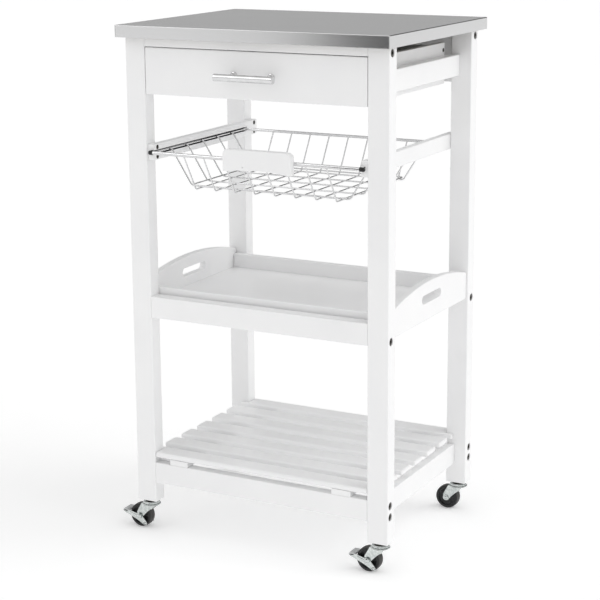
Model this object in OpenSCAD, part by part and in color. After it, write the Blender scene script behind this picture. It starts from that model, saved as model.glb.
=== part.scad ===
// Rolling utility cart: steel worktop on a white wooden frame, with a drawer,
// a wire basket on grooved rails, a serving tray, a slatted shelf and four casters.
// Origin: on the floor below the centre of the worktop. X right, Y to the back, Z up.

/* [Worktop] */
// Width of the worktop, left to right
top_w = 470; // [440:1:520]
// Depth of the worktop, front to back
top_d = 370; // [350:1:420]
// Height of the worktop above the floor
cart_h = 830; // [820:1:900]
// Thickness of the worktop edge
top_t = 19; // [16:0.5:24]
// Thickness of the steel sheet
sheet_t = 0.8; // [0.6:0.1:1.2]

/* [Legs] */
// Leg size, left to right
leg_w = 35; // [32:1:38]
// Leg size, front to back
leg_d = 25; // [24:0.5:28]
// Gap between the floor and the bottom of a leg
leg_lift = 50; // [50:1:56]
// How far the worktop stands out past the legs at each side
side_overhang = 8; // [4:1:14]
// How far the worktop stands out past the legs at the front
front_overhang = 17; // [12:1:22]
// How far the worktop stands out past the legs at the back
rear_overhang = 20; // [12:1:26]

/* [Rails] */
// Height of the rail directly under the worktop
top_rail_h = 14; // [13:0.5:18]
// Thickness of the front and back rails
rail_t = 18; // [16:0.5:20]
// Thickness of the rails at the sides
side_rail_t = 15; // [12:0.5:18]
// Height of the side aprons beside the drawer
apron_h = 34; // [28:1:40]
// Height of the bottom of the side aprons
apron_z = 739; // [736:1:742]
// Height of the rails that hold the tray and of the rails at the bottom
rail_h = 35; // [33:1:38]
// Height of the bottom of the tray rails
tray_rail_z = 363.5; // [355:0.5:375]
// Thickness of the tray rails
tray_rail_t = 22; // [18:0.5:24]
// Height of the bottom of the lowest rails
low_rail_z = 84; // [82:1:92]

/* [Drawer] */
// Width of the drawer front
drawer_w = 382; // [370:1:383]
// Height of the drawer front
drawer_h = 73; // [70:1:75]
// Thickness of the drawer front
drawer_front_t = 15; // [12:0.5:18]
// Thickness of the drawer's side and back boards
drawer_board_t = 10; // [9:0.5:12]
// Thickness of the drawer bottom
drawer_bottom_t = 3; // [3:0.5:4]
// Depth of the drawer box from the front's face to the back
drawer_d = 290; // [260:1:300]
// Length of the handle bar
handle_len = 102; // [90:1:140]
// Diameter of the handle bar
handle_bar_d = 11.5; // [9:0.5:13]
// Distance from the drawer front to the middle of the handle bar
handle_out = 28; // [24:0.5:34]
// Distance between the two handle posts
handle_posts = 64; // [56:1:76]

/* [Basket] */
// Height of the grooved basket rails
basket_rail_h = 25; // [24:1:30]
// Thickness of the basket rails
basket_rail_t = 12; // [11:0.5:14]
// Height of the middle of the basket rim
rim_z = 631.5; // [600:0.5:650]
// Diameter of the rim wire
rim_d = 5; // [4:0.5:5.5]
// Diameter of the front rod
rod_d = 6; // [5:0.5:7]
// Diameter of the basket wires
wire_d = 2.6; // [2:0.2:3.2]
// Depth of the basket below its rim
basket_drop = 59; // [45:1:75]
// Length of the basket, front to back, at the rim
basket_len = 290; // [270:1:292]
// How far the front and back walls lean in
lean_y = 35; // [20:1:50]
// How far the side walls lean in
lean_x = 43; // [25:1:55]
// Number of wires that run front to back
long_wires = 8; // [6:1:10]
// Spacing of the wires that run front to back
long_pitch = 35.5; // [24:0.5:36]
// Number of wires that run left to right
cross_wires = 5; // [4:1:6]
// Spacing of the wires that run left to right
cross_pitch = 48; // [36:1:50]
// Width of the wooden grip
grip_w = 118; // [90:1:130]
// Height of the wooden grip
grip_h = 35; // [30:1:40]
// Thickness of the wooden grip
grip_t = 13; // [11:0.5:15]
// Sideways place of the grip on the front rod
grip_x = 12; // [-20:1:20]

/* [Tray] */
// Length of the tray, left to right
tray_w = 448; // [430:1:454]
// Thickness of the tray's arched ends
tray_end_t = 12; // [10:0.5:14]
// Thickness of the tray's front and back walls
tray_wall_t = 10; // [8:0.5:12]
// Height of the tray's front and back walls
tray_wall_h = 36; // [30:1:40]
// Height of the tray's ends at their middle
tray_end_h = 62; // [56:1:70]
// Height of the tray's ends at their corners
tray_corner_h = 44; // [40:1:50]
// Thickness of the tray floor
tray_floor_t = 6; // [5:0.5:8]
// Length of the hand slot
slot_len = 74; // [60:1:90]
// Height of the hand slot
slot_h = 14; // [12:1:18]

/* [Shelf] */
// Width of a slat, front to back
slat_w = 33; // [30:1:36]
// Thickness of a slat
slat_t = 9; // [8:0.5:12]
// Number of slats
slat_count = 7; // [5:1:7]
// Thickness of the two battens under the slats
batten_t = 9; // [8:0.5:12]
// Distance of each batten from the middle
batten_x = 147; // [100:1:160]

/* [Casters] */
// Wheel diameter
wheel_d = 40; // [38:1:40]
// Wheel width
wheel_w = 15; // [13:0.5:16]
// Distance from the swivel axis to the wheel axle
trail = 18; // [17:0.5:19]
// Diameter of the swivel plate
swivel_d = 31; // [28:1:31]
// Diameter of the axle
axle_d = 6; // [5:0.5:6]
// Thickness of the pressed steel
plate_t = 1.6; // [1.2:0.1:2]

/* [Hidden] */
$fn = 64;

gap = 0.3;             // clearance between pieces that slide past each other
bore_fit = 0.1;        // running fit on a diameter
eps = 0.5;             // overshoot of a cut past a face

// Frame planes
leg_x1 = top_w / 2 - side_overhang;
leg_x0 = leg_x1 - leg_w;
front_y = -top_d / 2 + front_overhang;
rear_y = top_d / 2 - rear_overhang;
leg_mid_x = (leg_x0 + leg_x1) / 2;
leg_front_mid = front_y + leg_d / 2;
leg_rear_mid = rear_y - leg_d / 2;
span_y0 = front_y + leg_d;
span_y1 = rear_y - leg_d;
span_mid = (span_y0 + span_y1) / 2;
under_top = cart_h - top_t;

// Bolts and barrel nuts
bolt_d = 6;
bolt_hole_d = 6.6;
bolt_head_d = 12;
bolt_head_t = 2.4;
bolt_seat = 3;
bolt_inset = 10;       // from the outer face of the leg to the bolt axis
nut_d = 9;
nut_len = 12;
nut_reach = 20;        // from the rail's end to the barrel nut axis
top_bolt_z = under_top - 8.5;
tray_bolt_z = tray_rail_z + 8.5;
low_bolt_zs = [low_rail_z + 10, low_rail_z + 28];
all_bolt_zs = concat([top_bolt_z, tray_bolt_z], low_bolt_zs);
front_bolt_y = front_y + bolt_inset;
rear_bolt_y = rear_y - bolt_inset;
socket_d = 4.6;

// Wood screws
screw_d = 3.4;
screw_head_d = 7;
screw_head_t = 2.4;
screw_len = 24;
rail_screw_dz = 7.5;   // above and below the groove

// Drawer planes
drawer_top = under_top - top_rail_h - 1;
drawer_z = drawer_top - drawer_h;
drawer_back_face = front_y + drawer_front_t;
drawer_side_x = leg_x0 - 4;
drawer_side_z0 = drawer_z + 4;
drawer_side_z1 = drawer_top - 3;
drawer_end_y = front_y + drawer_d;
drawer_floor_z = drawer_side_z0 + 6;
panel_groove = 4;
runner_h = 9.4;
runner_top = drawer_z + 37;
runner_depth = 9;
side_groove = 6;
back_screw_y = drawer_end_y - drawer_board_t / 2;
back_screw_zs = [drawer_side_z0 + 15, drawer_side_z1 - 12];
handle_z = drawer_z + drawer_h / 2 - 1;
handle_screw_d = 4;
handle_screw_head_d = 8;
handle_screw_grip = 12;    // how far a handle screw reaches past the drawer front
post_d = 8;
post_foot_d = 13;
post_foot_t = 2;

// Basket planes
rail_setback = 3;
groove_h = 7;
groove_depth = 6.5;
rail_face_x = leg_x0 - basket_rail_t;
rim_x = rail_face_x + 3;
knee_x = rail_face_x - 4;   // where a cross wire turns down, clear of the rail
rod_y = front_y - 1;
rim_y1 = rod_y + basket_len;
groove_end_y = rim_y1 + 6;
floor_wire_z = rim_z - basket_drop;
floor_x = rim_x - lean_x;
floor_y0 = rod_y + lean_y;
floor_y1 = rim_y1 - lean_y;
basket_mid_y = (rod_y + rim_y1) / 2;
rod_half = leg_x0 - 4;
cap_len = 10;
cap_d = 7.4;
wire_step = 1.15 * wire_d + 0.05;  // from one layer of crossing wires to the next

// Tray planes
tray_z = tray_rail_z + 9.5;
tray_y0 = span_y0 + 0.5;
tray_y1 = span_y1 - 0.5;
tray_half = tray_w / 2;
tray_in = tray_half - tray_end_t;
tray_depth = tray_y1 - tray_y0;
tray_floor_z = tray_z + 6;
slot_z = tray_z + 35;
arch_sag = tray_end_h - tray_corner_h;
arch_r = (pow(tray_depth / 2, 2) + pow(arch_sag, 2)) / (2 * arch_sag);

// Shelf planes
low_top = low_rail_z + rail_h;
slat_z = low_top + batten_t;
slat_half = leg_x0 + side_rail_t - 2;
slat_pitch = (rear_y - front_y - slat_w) / (slat_count - 1);
notch_clear = 0.5;

// Caster planes
axle_z = wheel_d / 2;
plate_z = wheel_d + 1;
plate_h = 2.4;
cup_z = plate_z + plate_h + gap;
cup_h = 3.6;
cup_d = swivel_d - 3;
stem_d = 8;
stem_len = 30;
fork_in = wheel_w / 2 + 1;
fork_out = fork_in + plate_t;
lever_in = fork_out + 0.2;
lever_out = lever_in + 1.4;
lobe_d = 10;
wheels_xy = [
    [-leg_mid_x, leg_front_mid], [leg_mid_x, leg_front_mid],
    [-leg_mid_x, leg_rear_mid], [leg_mid_x, leg_rear_mid]
];

// Colours
paint = "white";
steel = "silver";
chrome = "gainsboro";
zinc = "lightgrey";
dark = "dimgrey";
black = [0.08, 0.08, 0.08];

// ---------- shared shapes ----------

// A box from its lowest corner to its highest corner
module block(low, high) {
    translate(low) cube(high - low);
}

// A straight round rod between two points
module rod(from, to, d) {
    run = to - from;
    translate(from)
        rotate([0, acos(run[2] / norm(run)), atan2(run[1], run[0])])
            cylinder(h = norm(run), d = d);
}

// A rod through a list of points, with a slightly larger ball at each bend
module bent_rod(points, d) {
    ball = 1.15 * d;
    for (i = [0 : len(points) - 2]) rod(points[i], points[i + 1], d);
    for (i = [1 : len(points) - 2]) translate(points[i]) sphere(d = ball);
}

// A cylinder along X or Y, from one coordinate to another
module x_hole(x0, x1, y, z, d) {
    rod([x0, y, z], [x1, y, z], d);
}

module y_hole(y0, y1, x, z, d) {
    rod([x, y0, z], [x, y1, z], d);
}

// Both sides of the cart
module both_sides() {
    for (side = [-1, 1]) scale([side, 1, 1]) children();
}

// ---------- worktop ----------

module steel_top() {
    color(steel)
        difference() {
            block([-top_w / 2, -top_d / 2, under_top], [top_w / 2, top_d / 2, cart_h]);
            block([-top_w / 2 + sheet_t, -top_d / 2 + sheet_t, under_top - eps],
                  [top_w / 2 - sheet_t, top_d / 2 - sheet_t, cart_h - sheet_t]);
        }
}

module top_board() {
    color("burlywood")
        block([-top_w / 2 + sheet_t, -top_d / 2 + sheet_t, under_top],
              [top_w / 2 - sheet_t, top_d / 2 - sheet_t, cart_h - sheet_t]);
}

// ---------- legs ----------

module leg(side, y0, bolt_y, mid_y) {
    x0 = side > 0 ? leg_x0 : -leg_x1;
    face = side * leg_x1;
    color(paint)
        difference() {
            block([x0, y0, leg_lift], [x0 + leg_w, y0 + leg_d, under_top]);
            for (z = all_bolt_zs) {
                x_hole(-side * eps + side * leg_x0, face, bolt_y, z, bolt_hole_d);
                x_hole(face - side * bolt_seat, face + side * eps, bolt_y, z, bolt_head_d + 0.4);
            }
            for (dz = [-rail_screw_dz, rail_screw_dz])
                x_hole(side * (leg_x0 - eps), side * (rail_face_x + screw_len + 1),
                       mid_y, rim_z + dz, screw_d + 0.1);
            translate([side * leg_mid_x, mid_y, leg_lift - eps])
                cylinder(h = stem_len + 2, d = stem_d + 0.4);
        }
}

module leg_front_left() leg(-1, front_y, front_bolt_y, leg_front_mid);
module leg_front_right() leg(1, front_y, front_bolt_y, leg_front_mid);
module leg_rear_left() leg(-1, span_y1, rear_bolt_y, leg_rear_mid);
module leg_rear_right() leg(1, span_y1, rear_bolt_y, leg_rear_mid);

// ---------- rails ----------

// A rail between two legs, bored at both ends for bolts and their barrel nuts.
// The barrel nuts go in from the face at open_y.
module bolted_rail(y0, y1, z0, z1, bolt_y, bolt_zs, open_y) {
    inward = open_y > bolt_y ? 1 : -1;
    color(paint)
        difference() {
            block([-leg_x0, y0, z0], [leg_x0, y1, z1]);
            for (side = [-1, 1], z = bolt_zs) {
                x_hole(side * (leg_x0 - nut_reach - nut_d), side * (leg_x0 + eps),
                       bolt_y, z, bolt_hole_d);
                y_hole(bolt_y - inward * nut_len / 2, open_y + inward * eps,
                       side * (leg_x0 - nut_reach), z, nut_d + bore_fit);
            }
        }
}

module front_top_rail()
    bolted_rail(front_y, front_y + rail_t, under_top - top_rail_h, under_top,
                front_bolt_y, [top_bolt_z], front_y + rail_t);

module rear_top_rail()
    bolted_rail(rear_y - rail_t, rear_y, under_top - top_rail_h, under_top,
                rear_bolt_y, [top_bolt_z], rear_y - rail_t);

module tray_rail_front()
    bolted_rail(front_y, front_y + tray_rail_t, tray_rail_z, tray_rail_z + rail_h,
                front_bolt_y, [tray_bolt_z], front_y + tray_rail_t);

module tray_rail_rear()
    bolted_rail(rear_y - tray_rail_t, rear_y, tray_rail_z, tray_rail_z + rail_h,
                rear_bolt_y, [tray_bolt_z], rear_y - tray_rail_t);

module low_rail_front()
    bolted_rail(front_y, front_y + rail_t, low_rail_z, low_top,
                front_bolt_y, low_bolt_zs, front_y + rail_t);

module low_rail_rear()
    bolted_rail(rear_y - rail_t, rear_y, low_rail_z, low_top,
                rear_bolt_y, low_bolt_zs, rear_y - rail_t);

module side_rail(side, z0, h) {
    x0 = side > 0 ? leg_x0 : -leg_x0 - side_rail_t;
    color(paint) block([x0, span_y0, z0], [x0 + side_rail_t, span_y1, z0 + h]);
}

module apron_left() side_rail(-1, apron_z, apron_h);
module apron_right() side_rail(1, apron_z, apron_h);
module low_rail_left() side_rail(-1, low_rail_z, rail_h);
module low_rail_right() side_rail(1, low_rail_z, rail_h);

module rear_panel() {
    panel_t = 12;
    color(paint)
        block([-leg_x0, rear_y - 3 - panel_t, drawer_side_z0],
              [leg_x0, rear_y - 3, under_top - top_rail_h - 0.5]);
}

// Strips on the aprons that the drawer sides hang on
module drawer_runners() {
    color("wheat")
        both_sides()
            block([leg_x0 - runner_depth, drawer_back_face + 3, runner_top - runner_h],
                  [leg_x0, span_y1 - 3, runner_top]);
}

// Strips on the tray rails that the tray rests on
module tray_cleats() {
    cleat_w = 10;
    cleat_top = tray_z - gap;
    front_face = front_y + tray_rail_t;
    rear_face = rear_y - tray_rail_t;
    color(paint) {
        block([-leg_x0 + 4, front_face, tray_rail_z], [leg_x0 - 4, front_face + cleat_w, cleat_top]);
        block([-leg_x0 + 4, rear_face - cleat_w, tray_rail_z], [leg_x0 - 4, rear_face, cleat_top]);
    }
}

module basket_rail(side) {
    front = front_y + rail_setback;
    back = rear_y - rail_setback;
    color(paint)
        scale([side, 1, 1])
            difference() {
                block([rail_face_x, front, rim_z - basket_rail_h / 2],
                      [leg_x0, back, rim_z + basket_rail_h / 2]);
                block([rail_face_x - eps, front - eps, rim_z - groove_h / 2],
                      [rail_face_x + groove_depth, groove_end_y, rim_z + groove_h / 2]);
                for (y = [leg_front_mid, leg_rear_mid], dz = [-rail_screw_dz, rail_screw_dz]) {
                    x_hole(rail_face_x - eps, leg_x0 + eps, y, rim_z + dz, screw_d + 0.1);
                    x_hole(rail_face_x - eps, rail_face_x + screw_head_t, y, rim_z + dz,
                           screw_head_d + 0.2);
                }
            }
}

module basket_rail_left() basket_rail(-1);
module basket_rail_right() basket_rail(1);

// ---------- slatted shelf ----------

module slat(number) {
    y0 = front_y + (number - 1) * slat_pitch;
    block([-slat_half, y0, slat_z], [slat_half, y0 + slat_w, slat_z + slat_t]);
}

// An end slat, notched at both corners to clear the legs
module end_slat(number, notch_y0, notch_y1) {
    color(paint)
        difference() {
            slat(number);
            both_sides()
                block([leg_x0 - notch_clear, notch_y0, slat_z - eps],
                      [slat_half + eps, notch_y1, slat_z + slat_t + eps]);
        }
}

module slat_front() end_slat(1, front_y - eps, span_y0 + notch_clear);
module slat_rear() end_slat(slat_count, span_y1 - notch_clear, rear_y + eps);

module slats_middle() {
    color(paint) for (number = [2 : slat_count - 1]) slat(number);
}

module battens() {
    color(paint)
        both_sides()
            block([batten_x - slat_w / 2, front_y, low_top],
                  [batten_x + slat_w / 2, rear_y, slat_z]);
}

// ---------- fasteners ----------

// Everything that repeats at the bolts of one leg pair, for both sides
module at_bolts() {
    for (side = [-1, 1], y = [front_bolt_y, rear_bolt_y], z = all_bolt_zs)
        translate([0, y, z]) scale([side, 1, 1]) children();
}

module frame_bolts() {
    seat = leg_x1 - bolt_seat;
    tip = leg_x0 - nut_reach - nut_d / 2;
    color(dark)
        at_bolts()
            difference() {
                union() {
                    x_hole(tip, seat, 0, 0, bolt_d);
                    x_hole(seat, seat + bolt_head_t, 0, 0, bolt_head_d);
                }
                translate([seat + 1, 0, 0])
                    rotate([0, 90, 0])
                        cylinder(h = bolt_head_t, d = socket_d, $fn = 6);
            }
}

module barrel_nuts() {
    color(steel)
        at_bolts()
            difference() {
                y_hole(-nut_len / 2, nut_len / 2, leg_x0 - nut_reach, 0, nut_d);
                x_hole(leg_x0 - nut_reach - nut_d, leg_x0 - nut_reach + nut_d, 0, 0, bolt_d + 0.1);
            }
}

// A wood screw along +X, its head face at the origin
module wood_screw(length) {
    x_hole(0, screw_head_t, 0, 0, screw_head_d);
    x_hole(screw_head_t, length, 0, 0, screw_d);
}

module rail_screws() {
    color(dark)
        for (side = [-1, 1], y = [leg_front_mid, leg_rear_mid], dz = [-rail_screw_dz, rail_screw_dz])
            scale([side, 1, 1]) translate([rail_face_x, y, rim_z + dz]) wood_screw(screw_len);
}

// ---------- drawer ----------

module drawer_front() {
    color(paint)
        difference() {
            block([-drawer_w / 2, front_y, drawer_z], [drawer_w / 2, drawer_back_face, drawer_top]);
            block([-drawer_side_x + panel_groove, drawer_back_face - panel_groove, drawer_floor_z],
                  [drawer_side_x - panel_groove, drawer_back_face + eps,
                   drawer_floor_z + drawer_bottom_t]);
            for (side = [-1, 1])
                y_hole(front_y - eps, drawer_back_face + eps, side * handle_posts / 2, handle_z,
                       handle_screw_d + 0.2);
        }
}

module drawer_side(side) {
    inner = drawer_side_x - drawer_board_t;
    color(paint)
        scale([side, 1, 1])
            difference() {
                block([inner, drawer_back_face, drawer_side_z0],
                      [drawer_side_x, drawer_end_y, drawer_side_z1]);
                block([drawer_side_x - side_groove, drawer_back_face - eps, runner_top - runner_h - gap],
                      [drawer_side_x + eps, drawer_end_y + eps, runner_top + gap]);
                block([inner - eps, drawer_back_face - eps, drawer_floor_z],
                      [inner + panel_groove, drawer_end_y + eps, drawer_floor_z + drawer_bottom_t]);
                for (z = back_screw_zs)
                    x_hole(inner - eps, drawer_side_x + eps, back_screw_y, z, screw_d + 0.1);
                for (z = back_screw_zs)
                    x_hole(drawer_side_x - screw_head_t, drawer_side_x + eps, back_screw_y, z,
                           screw_head_d + 0.2);
            }
}

module drawer_side_left() drawer_side(-1);
module drawer_side_right() drawer_side(1);

module drawer_back() {
    half = drawer_side_x - drawer_board_t;
    color(paint)
        difference() {
            block([-half, drawer_end_y - drawer_board_t, drawer_floor_z + drawer_bottom_t],
                  [half, drawer_end_y, drawer_side_z1 - 5]);
            for (side = [-1, 1], z = back_screw_zs)
                x_hole(side * (half - 18), side * (half + eps), back_screw_y, z, screw_d + 0.1);
        }
}

module drawer_bottom() {
    half = drawer_side_x - drawer_board_t + panel_groove;
    color(paint)
        block([-half, drawer_back_face - panel_groove, drawer_floor_z],
              [half, drawer_end_y, drawer_floor_z + drawer_bottom_t]);
}

module drawer_handle() {
    bar_y = front_y - handle_out;
    color(chrome)
        difference() {
            union() {
                x_hole(-handle_len / 2, handle_len / 2, bar_y, handle_z, handle_bar_d);
                for (side = [-1, 1]) {
                    y_hole(bar_y, front_y, side * handle_posts / 2, handle_z, post_d);
                    y_hole(front_y - post_foot_t, front_y, side * handle_posts / 2, handle_z,
                           post_foot_d);
                }
            }
            for (side = [-1, 1])
                y_hole(front_y - handle_screw_grip - 1, front_y + eps, side * handle_posts / 2, handle_z,
                       handle_screw_d + bore_fit);
        }
}

module drawer_screws() {
    color(dark) {
        for (side = [-1, 1]) {
            y_hole(front_y - handle_screw_grip, drawer_back_face, side * handle_posts / 2, handle_z,
                   handle_screw_d);
            y_hole(drawer_back_face, drawer_back_face + screw_head_t, side * handle_posts / 2,
                   handle_z, handle_screw_head_d);
        }
        for (side = [-1, 1], z = back_screw_zs)
            scale([side, 1, 1])
                translate([drawer_side_x, back_screw_y, z])
                    mirror([1, 0, 0]) wood_screw(screw_len);
    }
}

// ---------- basket ----------

module basket_frame() {
    color(chrome) {
        x_hole(-rod_half + 2, rod_half - 2, rod_y, rim_z, rod_d);
        bent_rod([[-rim_x, rod_y, rim_z], [-rim_x, rim_y1, rim_z],
                  [rim_x, rim_y1, rim_z], [rim_x, rod_y, rim_z]], rim_d);
    }
}

// A wire that hangs from the rim at both ends, across the floor of the basket
module long_wire(x) {
    bent_rod([[x, rod_y, rim_z], [x, floor_y0, floor_wire_z],
              [x, floor_y1, floor_wire_z], [x, rim_y1, rim_z]], wire_d);
}

// A wire between the side rims, level at both ends so that it leaves the groove freely
module cross_wire(y) {
    z = floor_wire_z + wire_step;
    bent_rod([[-rim_x, y, rim_z], [-knee_x, y, rim_z], [-floor_x, y, z],
              [floor_x, y, z], [knee_x, y, rim_z], [rim_x, y, rim_z]], wire_d);
}

module basket_wires() {
    ring_z = floor_wire_z + 2 * wire_step;
    ring_x = floor_x - 4;
    ring_y0 = floor_y0 + 4;
    ring_y1 = floor_y1 - 4;
    butt_gap = 0.1;        // where the two halves of the ring meet
    color(chrome) {
        for (i = [0 : long_wires - 1]) long_wire((i - (long_wires - 1) / 2) * long_pitch);
        for (i = [0 : cross_wires - 1])
            cross_wire(basket_mid_y + (i - (cross_wires - 1) / 2) * cross_pitch);
        both_sides()
            bent_rod([[butt_gap / 2, ring_y0, ring_z], [ring_x, ring_y0, ring_z],
                      [ring_x, ring_y1, ring_z], [butt_gap / 2, ring_y1, ring_z]], wire_d);
    }
}

// Front view of the grip: rounded top corners and a shallow arch below
module grip_outline() {
    corner = 9;
    arch = 4;
    half = grip_w / 2;
    arch_radius = (pow(half, 2) + pow(arch, 2)) / (2 * arch);
    difference() {
        union() {
            translate([-half, -grip_h / 2]) square([grip_w, grip_h - corner]);
            translate([-half + corner, -grip_h / 2]) square([grip_w - 2 * corner, grip_h]);
            for (side = [-1, 1])
                translate([side * (half - corner), grip_h / 2 - corner]) circle(r = corner);
        }
        translate([0, -grip_h / 2 - arch_radius + arch]) circle(r = arch_radius);
    }
}

module basket_grip() {
    color(paint)
        difference() {
            translate([grip_x, rod_y, rim_z])
                rotate([90, 0, 0]) linear_extrude(grip_t) grip_outline();
            x_hole(-grip_w, grip_w, rod_y, rim_z, rod_d + bore_fit);
        }
}

// Plastic ends of the front rod, slotted at the back for the side rim
module basket_caps() {
    color(black)
        both_sides()
            difference() {
                x_hole(rod_half - cap_len, rod_half, rod_y, rim_z, cap_d);
                x_hole(rod_half - cap_len - eps, rod_half - 2, rod_y, rim_z, rod_d + bore_fit);
                y_hole(rod_y, rod_y + cap_d, rim_x, rim_z, rim_d + bore_fit);
            }
}

// ---------- tray ----------

module tray_floor() {
    color(paint)
        block([-tray_in, tray_y0 + tray_wall_t, tray_floor_z],
              [tray_in, tray_y1 - tray_wall_t, tray_floor_z + tray_floor_t]);
}

module tray_wall(y0) {
    color(paint) block([-tray_in, y0, tray_z], [tray_in, y0 + tray_wall_t, tray_z + tray_wall_h]);
}

module tray_wall_front() tray_wall(tray_y0);
module tray_wall_rear() tray_wall(tray_y1 - tray_wall_t);

// Side view of a tray end: a low arch with a hand slot, Y across and Z up
module tray_end_outline() {
    intersection() {
        translate([tray_y0, tray_z]) square([tray_depth, tray_end_h]);
        translate([span_mid, tray_z + tray_end_h - arch_r]) circle(r = arch_r, $fn = 96);
    }
}

module hand_slot() {
    reach = (slot_len - slot_h) / 2;
    translate([span_mid - reach, slot_z - slot_h / 2]) square([2 * reach, slot_h]);
    for (side = [-1, 1]) translate([span_mid + side * reach, slot_z]) circle(d = slot_h);
}

module tray_end(side) {
    color(paint)
        scale([side, 1, 1])
            translate([tray_in, 0, 0])
                rotate([90, 0, 90])
                    linear_extrude(tray_end_t)
                        difference() {
                            tray_end_outline();
                            hand_slot();
                        }
}

module tray_end_left() tray_end(-1);
module tray_end_right() tray_end(1);

// ---------- casters ----------

// Stem, collar and upper ball cup of each caster, fixed to the legs
module caster_heads() {
    collar_d = 13;
    collar_z = cup_z + cup_h;
    color(zinc)
        for (at = wheels_xy)
            translate([at[0], at[1], 0]) {
                translate([0, 0, cup_z]) cylinder(h = cup_h, d1 = cup_d, d2 = cup_d - 4);
                translate([0, 0, collar_z]) cylinder(h = leg_lift - collar_z, d = collar_d);
                translate([0, 0, collar_z]) cylinder(h = leg_lift + stem_len - collar_z, d = stem_d);
            }
}

// One cheek of the fork, in the XZ plane with the swivel axis at X = 0
module cheek_outline() {
    difference() {
        union() {
            polygon([[-14, plate_z + plate_h], [9, plate_z + plate_h],
                     [-trail + 5, axle_z - 1.5], [-trail - 4.6, axle_z + 2]]);
            translate([-trail, axle_z]) circle(d = lobe_d);
        }
        translate([-trail, axle_z]) circle(d = axle_d + bore_fit);
    }
}

// A flat outline in XZ, raised along Y from y0 by t
module upright_plate(y0, t) {
    translate([0, y0 + t, 0]) rotate([90, 0, 0]) linear_extrude(t) children();
}

module fork(at) {
    color(zinc)
        translate([at[0], at[1], 0]) {
            translate([0, 0, plate_z]) cylinder(h = plate_h, d = swivel_d);
            upright_plate(fork_in, plate_t) cheek_outline();
            upright_plate(-fork_out, plate_t) cheek_outline();
            upright_plate(-fork_out, 2 * fork_out)
                polygon([[9, plate_z + plate_h], [7.4, plate_z + plate_h],
                         [2.4, plate_z - 8], [4, plate_z - 8]]);
        }
}

// Axle bolt with its head and nut outside the fork cheeks
module axle(at, reach) {
    cap = 2.6;
    color(steel)
        translate([at[0] - trail, at[1], 0]) {
            y_hole(-reach - cap, reach + cap, 0, axle_z, axle_d);
            y_hole(-reach - cap, -reach, 0, axle_z, axle_d + 3.4);
            y_hole(reach, reach + cap, 0, axle_z, axle_d + 3.4);
        }
}

// Half section of the wheel: tread, side rims and hub
module wheel_section() {
    r = wheel_d / 2;
    w = wheel_w / 2;
    bore = (axle_d + bore_fit) / 2;
    polygon([[bore, -w], [7, -w], [8, -w + 2.2], [14.5, -w + 2.2], [15.5, -w], [r - 1.6, -w],
             [r - 0.4, -w + 1.6], [r, 0], [r - 0.4, w - 1.6], [r - 1.6, w], [15.5, w],
             [14.5, w - 2.2], [8, w - 2.2], [7, w], [bore, w]]);
}

module wheel(at) {
    color(black)
        translate([at[0] - trail, at[1], axle_z])
            rotate([90, 0, 0]) rotate_extrude() wheel_section();
}

// One arm of the brake lever in XZ, with the axle at the origin
module lever_outline() {
    difference() {
        union() {
            polygon([[13.5, -9.2], [9, -14.6], [-30, 2.4], [-30, 7.4], [-17, 7.4]]);
            translate([11, -11.6]) circle(d = 7);
        }
        circle(d = axle_d + bore_fit);
    }
}

module brake(at) {
    pad_x0 = -31.5;
    pad_x1 = -21.5;
    color(zinc)
        translate([at[0] - trail, at[1], axle_z]) {
            upright_plate(lever_in, lever_out - lever_in) lever_outline();
            upright_plate(-lever_out, lever_out - lever_in) lever_outline();
            block([pad_x0, -lever_out, 3.4], [pad_x1, lever_out, 8.4]);
        }
}

module fork_front_left() fork(wheels_xy[0]);
module fork_front_right() fork(wheels_xy[1]);
module fork_rear_left() fork(wheels_xy[2]);
module fork_rear_right() fork(wheels_xy[3]);
module axle_front_left() axle(wheels_xy[0], lever_out + 0.2);
module axle_front_right() axle(wheels_xy[1], lever_out + 0.2);
module axle_rear_left() axle(wheels_xy[2], fork_out);
module axle_rear_right() axle(wheels_xy[3], fork_out);
module wheel_front_left() wheel(wheels_xy[0]);
module wheel_front_right() wheel(wheels_xy[1]);
module wheel_rear_left() wheel(wheels_xy[2]);
module wheel_rear_right() wheel(wheels_xy[3]);
module brake_front_left() brake(wheels_xy[0]);
module brake_front_right() brake(wheels_xy[1]);

// ---------- every node ----------

steel_top();
top_board();
leg_front_left();
leg_front_right();
leg_rear_left();
leg_rear_right();
front_top_rail();
rear_top_rail();
rear_panel();
apron_left();
apron_right();
drawer_runners();
basket_rail_left();
basket_rail_right();
tray_rail_front();
tray_rail_rear();
tray_cleats();
low_rail_front();
low_rail_rear();
low_rail_left();
low_rail_right();
slat_front();
slats_middle();
slat_rear();
battens();
frame_bolts();
barrel_nuts();
rail_screws();
caster_heads();
drawer_front();
drawer_side_left();
drawer_side_right();
drawer_back();
drawer_bottom();
drawer_handle();
drawer_screws();
basket_frame();
basket_wires();
basket_grip();
basket_caps();
tray_floor();
tray_end_left();
tray_end_right();
tray_wall_front();
tray_wall_rear();
fork_front_left();
axle_front_left();
wheel_front_left();
brake_front_left();
fork_front_right();
axle_front_right();
wheel_front_right();
brake_front_right();
fork_rear_left();
axle_rear_left();
wheel_rear_left();
fork_rear_right();
axle_rear_right();
wheel_rear_right();
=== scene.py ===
# Looks of the rolling utility cart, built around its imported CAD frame.
# Sizes below are in millimetres in the CAD frame, and become metres when a mesh is made.
import math

import bmesh
import bpy
from mathutils import Matrix, Vector


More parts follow.
